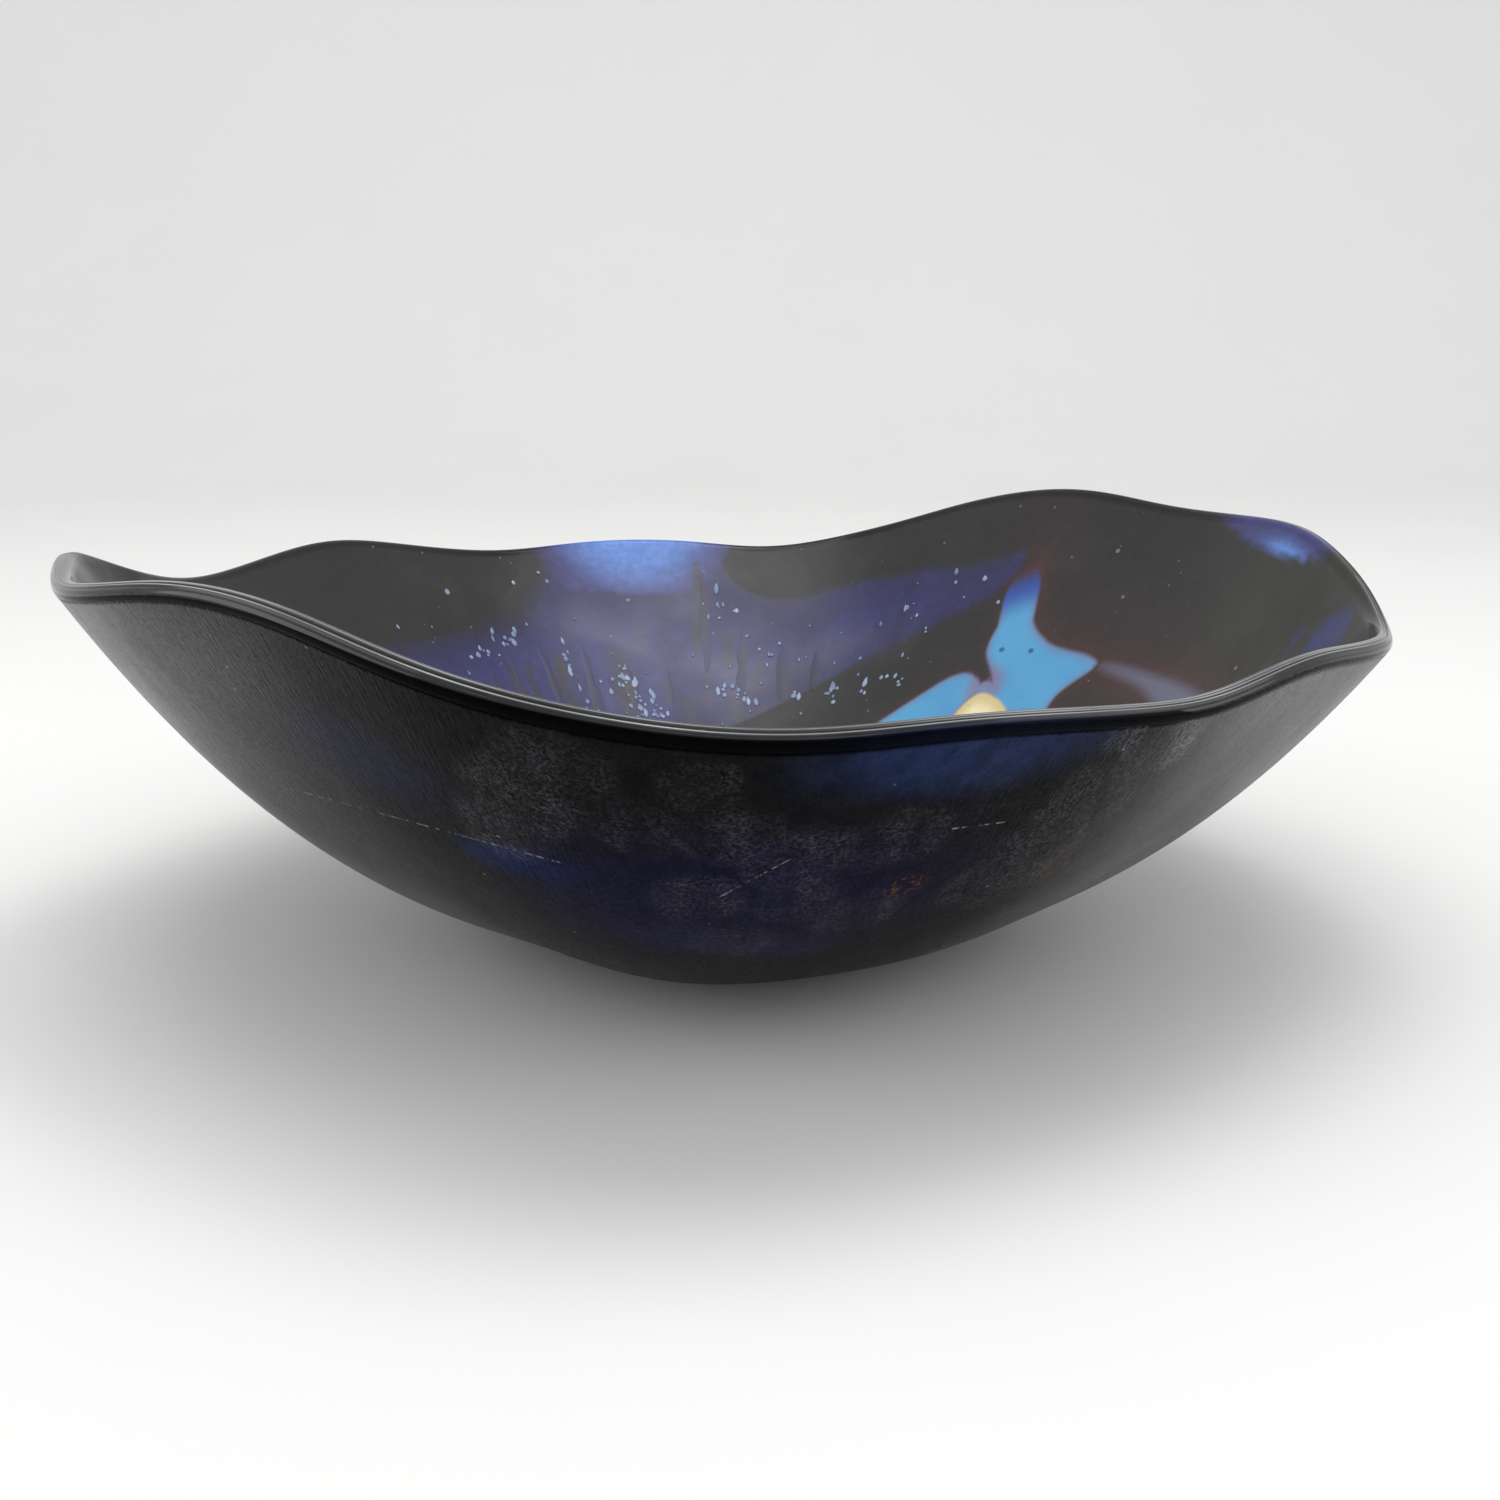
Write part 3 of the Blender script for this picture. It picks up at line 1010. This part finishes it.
class Look:
    """One material, with short forms for the nodes it is made of."""

    def __init__(self, name):
        self.material = bpy.data.materials.new(name)
        self.material.use_nodes = True
        self.tree = self.material.node_tree
        self.shader = self.tree.nodes["Principled BSDF"]
        self.place = self.add("ShaderNodeTexCoord").outputs["Object"]

    def add(self, kind, inputs=None, **settings):
        node = self.tree.nodes.new(kind)
        for key, value in settings.items():
            setattr(node, key, value)
        for key, value in (inputs or {}).items():
            self.give(node.inputs[key], value)
        return node

    def give(self, socket, value):
        if isinstance(value, bpy.types.NodeSocket):
            self.tree.links.new(value, socket)
        else:
            socket.default_value = value

    def field(self, name, output="Fac"):
        return self.add("ShaderNodeAttribute", attribute_name=name).outputs[output]

    def ease(self, value, low, high, to_low=0.0, to_high=1.0):
        inputs = {"Value": value, "From Min": low, "From Max": high, "To Min": to_low, "To Max": to_high}
        return self.add("ShaderNodeMapRange", inputs, interpolation_type="SMOOTHSTEP").outputs["Result"]

    def math(self, operation, a, b=0.0):
        return self.add("ShaderNodeMath", {0: a, 1: b}, operation=operation).outputs[0]

    def times(self, *factors):
        product = factors[0]
        for factor in factors[1:]:
            product = self.math("MULTIPLY", product, factor)
        return product

    def blend(self, share, low, high):
        inputs = {0: share, 2: low, 3: high}
        return self.add("ShaderNodeMix", inputs, data_type="FLOAT").outputs[0]

    def tint(self, colour, value):
        """Colour times one value."""
        grey = self.add("ShaderNodeCombineColor", {"Red": value, "Green": value, "Blue": value})
        return self.mix(1.0, colour, grey.outputs[0], "MULTIPLY")

    def mix(self, share, a, b, blend="MIX"):
        inputs = {0: share, 6: a, 7: b}
        return self.add("ShaderNodeMix", inputs, data_type="RGBA", blend_type=blend).outputs[2]

    def noise(self, scale, detail=3.0, rough=0.55, vector=None):
        inputs = {"Vector": vector or self.place, "Scale": scale, "Detail": detail, "Roughness": rough}
        return self.add("ShaderNodeTexNoise", inputs).outputs["Fac"]

    def cells(self, scale):
        return self.add("ShaderNodeTexVoronoi", {"Vector": self.place, "Scale": scale})

    def bump(self, height, strength, distance, normal=None):
        inputs = {"Height": height, "Strength": strength, "Distance": distance}
        if normal:
            inputs["Normal"] = normal
        return self.add("ShaderNodeBump", inputs).outputs["Normal"]

    def specks(self, scale, size, share):
        """Small scattered dots: 1 on a dot, 0 elsewhere. Only some cells hold one."""
        cell = self.cells(scale)
        dot = self.ease(cell.outputs["Distance"], size, size * 0.5)
        split = self.add("ShaderNodeSeparateColor", {"Color": cell.outputs["Color"]})
        return self.times(dot, self.math("LESS_THAN", split.outputs[0], share))

    def near(self, centre, reach):
        """1 at a place, easing to 0 at its reach."""
        away = self.add("ShaderNodeVectorMath", {0: self.place, 1: centre}, operation="DISTANCE")
        return self.ease(away.outputs["Value"], reach, reach * 0.45)

    def dull_lip(self, shine):
        """Shine, less at the worn tip of the lip."""
        worn = self.times(self.near(LIP_TIP, LIP_REACH), LIP_DULL)
        return self.times(shine, self.math("SUBTRACT", 1.0, worn))

    def scratch(self, start, end, eye, half_width):
        """1 along a fine scratch from start to end, as seen straight on from the eye."""
        start, end = np.array(start), np.array(end)
        span = end - start
        across = unit(np.cross(span, start - np.array(eye)))
        along = unit(span)
        off = self.add("ShaderNodeVectorMath", {0: self.place, 1: start}, operation="SUBTRACT").outputs[0]
        side = self.add("ShaderNodeVectorMath", {0: off, 1: across}, operation="DOT_PRODUCT")
        run = self.add("ShaderNodeVectorMath", {0: off, 1: along}, operation="DOT_PRODUCT")
        away = self.add("ShaderNodeVectorMath", {0: self.place, 1: (start + end) / 2}, operation="DISTANCE")
        line = self.ease(self.math("ABSOLUTE", side.outputs["Value"]), half_width, half_width * 0.3)
        length = float(np.linalg.norm(span))
        begun = self.math("GREATER_THAN", run.outputs["Value"], 0.0)
        ended = self.math("LESS_THAN", run.outputs["Value"], length)
        close = self.math("LESS_THAN", away.outputs["Value"], length / 2 + 8 * MM)
        return self.times(begun, ended, line, close)

    def finish(self, **inputs):
        for name, value in inputs.items():
            self.give(self.shader.inputs[name.replace("_", " ")], value)
        return self.material


def inner_glass(slot):
    """Satin upper sheet. The colour fields run on across the seams, so fused colours bleed."""
    look = Look(slot)
    colour = look.field("paint", "Color")
    mottle = look.ease(look.noise(320, 4), 0.3, 0.7, 0.86, 1.14)
    colour = look.tint(colour, mottle)

    lavender = look.field("lavender")
    colour = look.mix(look.ease(lavender, -1.6 * MM, 2.6 * MM), colour, LAVENDER)

    sky = look.field("sky")
    body = look.mix(look.ease(look.noise(45, 2), 0.35, 0.7, 0.0, 0.35), SKY, SKY_DEEP)
    body = look.mix(look.ease(sky, 0.0, 3.0 * MM, 0.62, 0.0), body, SKY_EDGE)
    body = look.mix(look.field("blush"), body, SKY_BLUSH)
    body = look.mix(look.field("tip"), body, SKY_TIP)
    body = look.mix(look.field("fade"), body, colour)
    colour = look.mix(look.ease(sky, -0.9 * MM, 0.9 * MM), colour, body)

    yellow = look.field("yellow")
    heart = look.mix(look.ease(yellow, 0.5 * MM, 6 * MM), YELLOW, YELLOW_HEART)
    heart = look.mix(look.ease(look.noise(120, 4), 0.45, 0.75, 0.0, 0.35), heart, YELLOW)
    colour = look.mix(look.ease(yellow, -0.7 * MM, 0.7 * MM), colour, heart)

    for bubble in BUBBLES:
        colour = look.mix(look.times(look.near(bubble, 1.5 * MM), 0.8), colour, BUBBLE)

    dust = look.times(look.specks(260, 0.16, 0.10), 0.4)
    crumbs = look.times(look.specks(90, 0.10, 0.10), 0.5)
    haze = look.ease(look.noise(26, 5, 0.6), 0.52, 0.80, 0.0, 0.035)
    wisps = look.ease(look.noise(95, 4, 0.6), 0.30, 0.70, 0.55, 1.15)
    haze = look.math("ADD", haze, look.times(look.field("haze"), wisps))
    marks = look.math("MAXIMUM", look.math("MAXIMUM", dust, crumbs), haze)
    colour = look.mix(marks, colour, HAZE_GREY)
    colour = look.mix(look.field("line"), colour, RIM_LIGHT)

    polish = look.field("polish")
    satin = look.ease(look.noise(38, 3), 0.3, 0.7, 0.30, 0.40)
    rough = look.blend(polish, satin, RIM_ROUGH)
    skin = look.bump(look.noise(2600, 2), 0.10, 0.05 * MM)
    skin = look.bump(look.noise(420, 2), 0.12, 0.12 * MM, skin)
    shine = look.dull_lip(look.ease(polish, 0.0, 1.0, 0.42, 0.26))
    return look.finish(Base_Color=colour, Roughness=rough, IOR=1.52, Normal=skin, Specular_IOR_Level=shine)


# Fine scratches on the outside: both ends, and how plain each is
SCRATCHES = (
    ((-0.117, -0.106, 0.068), (-0.039, -0.173, 0.067), 0.55),
    ((0.048, -0.170, 0.074), (0.061, -0.164, 0.074), 0.80),
    ((-0.004, -0.170, 0.058), (0.012, -0.167, 0.066), 0.55),
    ((0.120, 0.110, 0.070), (0.085, 0.145, 0.078), 0.60),
)
EYE = (0.003, -0.601, 0.192)  # scratches lie straight as seen from the camera
SCRATCH_HALF, SCRATCH_GREY = 0.20 * MM, (0.34, 0.34, 0.36, 1)
LINT_GREY = (0.22, 0.22, 0.25, 1)


def outer_glass(slot):
    """Lower sheet: matte from the mould, with draw marks and handling dust, glossy at the rim."""
    look = Look(slot)
    flow = look.field("flow", "Vector")
    polish, under = look.field("polish"), look.field("under")
    off_rim = look.math("SUBTRACT", 1.0, polish)
    streaks = look.noise(1150, 3, 0.6, flow)
    drawn = look.field("drawn")
    patchy = look.times(look.ease(look.noise(24, 3), 0.35, 0.65, 0.25, 1.0), drawn)
    fine_grain = look.noise(900, 3, 0.7)
    pits = look.specks(700, 0.40, 0.5)
    speckle = look.ease(look.noise(2200, 4, 0.8), 0.40, 0.68)

    colour = look.field("paint", "Color")
    tone = look.ease(look.noise(160, 4), 0.3, 0.7, 0.75, 1.3)
    colour = look.tint(colour, tone)
    grit = look.ease(look.noise(1000, 5, 0.75), 0.42, 0.64)
    patch = look.ease(look.noise(130, 4, 0.65), 0.36, 0.58, 0.40, 1.0)
    dust = look.times(look.field("dust"), patch, grit)
    sides = look.field("sides")
    filmy = look.ease(look.noise(40, 5, 0.6), 0.40, 0.75, 0.15, 1.0)
    film = look.times(filmy, look.ease(sides, 0.0, 1.0, 0.006, 0.115))
    streaky = look.times(look.ease(streaks, 0.45, 0.62), drawn)
    film = look.times(film, look.math("MAXIMUM", grit, streaky))
    dust = look.math("MAXIMUM", dust, look.times(film, off_rim))
    colour = look.mix(look.math("MINIMUM", look.times(dust, 1.25), 0.9), colour, DUST_GREY)
    rust = look.times(look.field("rust"), look.ease(look.noise(700, 4), 0.5, 0.66))
    colour = look.mix(rust, colour, RUST_BROWN)
    lint = look.times(look.specks(150, 0.10, 0.12), off_rim, 0.6)
    colour = look.mix(lint, colour, LINT_GREY)
    broken = look.ease(look.noise(520, 4, 0.7), 0.44, 0.62)
    for start, end, plainness in SCRATCHES:
        line = look.scratch(start, end, EYE, SCRATCH_HALF)
        colour = look.mix(look.times(line, broken, plainness), colour, SCRATCH_GREY)

    colour = look.mix(look.field("line"), colour, RIM_LIGHT)
    uneven = look.math("SUBTRACT", speckle, 0.5)
    grainy = look.times(uneven, polish, look.ease(sides, 0.1, 0.6, 0.0, 0.6))
    ragged = look.math("ADD", look.times(uneven, off_rim, 0.9), grainy)
    band = look.ease(look.math("ADD", under, ragged), 0.35, 0.65)
    clear = look.math("SUBTRACT", 1.0, look.times(band, 0.93))
    matte = look.ease(look.noise(30, 3), 0.3, 0.7, 0.27, 0.33)
    rough = look.blend(polish, matte, RIM_ROUGH)
    frost = look.ease(look.noise(800, 3, 0.8), 0.35, 0.65, 0.45, 1.0)
    frost = look.times(frost, look.ease(sides, 0.0, 1.0, 0.03, 0.52))
    shine = look.blend(polish, frost, RIM_SHINE)
    skin = look.bump(streaks, look.times(off_rim, patchy, 0.95), 0.28 * MM)
    skin = look.bump(fine_grain, look.times(off_rim, 0.55), 0.075 * MM, skin)
    skin = look.bump(pits, look.times(under, off_rim, 0.8), 0.15 * MM, skin)
    shine = look.dull_lip(look.times(shine, clear))
    return look.finish(Base_Color=colour, Roughness=rough, IOR=1.5, Normal=skin, Specular_IOR_Level=shine)


def drop_glass(slot, pale, deep, rough):
    """Melted crumbs and threads, each a little different in tone."""
    look = Look(slot)
    colour = look.mix(look.field("tone"), deep, pale)
    colour = look.mix(look.ease(look.noise(900, 3), 0.35, 0.7, 0.0, 0.4), colour, deep)
    ragged = look.ease(look.noise(1300, 3), 0.3, 0.7, -0.2, 0.2)
    shown = look.ease(look.math("ADD", look.field("core"), ragged), 0.10, 0.85)
    colour = look.mix(shown, look.field("paint", "Color"), colour)
    skin = look.bump(look.noise(1400, 2), 0.15, 0.08 * MM)
    return look.finish(Base_Color=colour, Roughness=rough, IOR=1.52, Normal=skin, Specular_IOR_Level=0.42)


# ---------------------------------------------------------------- stage

def plain(name, colour):
    look = Look(name)
    tone = look.ease(look.noise(6, 3), 0.2, 0.8, 0.985, 1.0)
    shade = look.mix(tone, (0.0, 0.0, 0.0, 1), colour)
    return look.finish(Base_Color=shade, Roughness=0.9, Specular_IOR_Level=0.2)


FLOOR_HALF, FLOOR_BACK, BEND, BACKDROP_TOP = 7.0, 1.3, 0.9, 3.2
PAPER = (0.86, 0.855, 0.84, 1)


def build_stage():
    """A pale floor that sweeps up into a backdrop far behind the bowl."""
    profile = [(-FLOOR_HALF, 0.0), (FLOOR_BACK, 0.0)]
    for t in np.linspace(0.1, pi / 2, 14):
        profile.append((FLOOR_BACK + BEND * sin(t), BEND * (1 - cos(t))))
    profile.append((FLOOR_BACK + BEND, BACKDROP_TOP))
    points = [(side * FLOOR_HALF, y, z) for y, z in profile for side in (-1, 1)]
    faces = [(2 * i, 2 * i + 1, 2 * i + 3, 2 * i + 2) for i in range(len(profile) - 1)]
    sweep = make_object("sweep", np.array(points), faces)
    sweep.data.materials.append(plain("paper", PAPER))


def area_light(name, place, aim, size, power):
    data = bpy.data.lights.new(name, "AREA")
    data.shape, data.size, data.size_y = "RECTANGLE", size[0], size[1]
    data.energy = power
    light = bpy.data.objects.new(name, data)
    bpy.context.scene.collection.objects.link(light)
    light.location = place
    direction = Vector(aim) - Vector(place)
    light.rotation_euler = direction.to_track_quat("-Z", "Y").to_euler()


# Name, place, what it aims at, size, power
LIGHTS = (
    ("overhead", (0.0, 0.0, 1.45), (0, 0.05, 0), (1.3, 0.85), 6.4),
    ("front", (0.25, -1.15, 1.10), (0.0, -0.1, 0.0), (1.1, 0.7), 1.7),
    ("left", (-1.25, -0.25, 0.50), (-0.10, 0.0, 0.03), (0.9, 0.8), 3.2),
    ("right", (1.25, -0.25, 0.50), (0.10, 0.0, 0.03), (0.9, 0.8), 2.4),
    ("strip", (0.175, 0.165, 1.45), (0.02, 0.10, 0), (0.70, 0.28), 2.0),
)
SKYLIGHT, SKYLIGHT_POWER = (0.97, 0.985, 1.0, 1), 0.79


def light_scene():
    world = bpy.data.worlds.new("studio")
    bpy.context.scene.world = world
    world.use_nodes = True
    background = world.node_tree.nodes["Background"]
    background.inputs["Color"].default_value = SKYLIGHT
    background.inputs["Strength"].default_value = SKYLIGHT_POWER
    for light in LIGHTS:
        area_light(*light)
    bpy.context.scene.view_settings.view_transform = "Standard"


CAMERA_TILT, CAMERA_DISTANCE, CAMERA_AIM = radians(13), 0.62, (0.00307, 0.0, 0.05284)
CAMERA_LENS, CAMERA_SENSOR = 48.33, 36  # mm


def place_camera():
    """Looks down at the bowl from the front."""
    data = bpy.data.cameras.new("camera")
    data.lens, data.sensor_width = CAMERA_LENS, CAMERA_SENSOR
    camera = bpy.data.objects.new("camera", data)
    bpy.context.scene.collection.objects.link(camera)
    x, y, z = CAMERA_AIM
    back, up = CAMERA_DISTANCE * cos(CAMERA_TILT), CAMERA_DISTANCE * sin(CAMERA_TILT)
    camera.location = (x, y - back, z + up)
    camera.rotation_euler = (pi / 2 - CAMERA_TILT, 0, 0)
    bpy.context.scene.camera = camera


looks = {slot: inner_glass(slot) for slot in sorted({SLOTS[name] for name in MOSAIC})}
build_base_sheet(outer_glass("base_glass"))
skin = build_mosaic(looks)
build_frit(drop_glass("frit_glass", FRIT_PALE, FRIT_DEEP, 0.34), skin)
build_stringers(drop_glass("stringer_glass", THREAD_PALE, THREAD_DEEP, 0.36), skin)
build_stage()
light_scene()
place_camera()
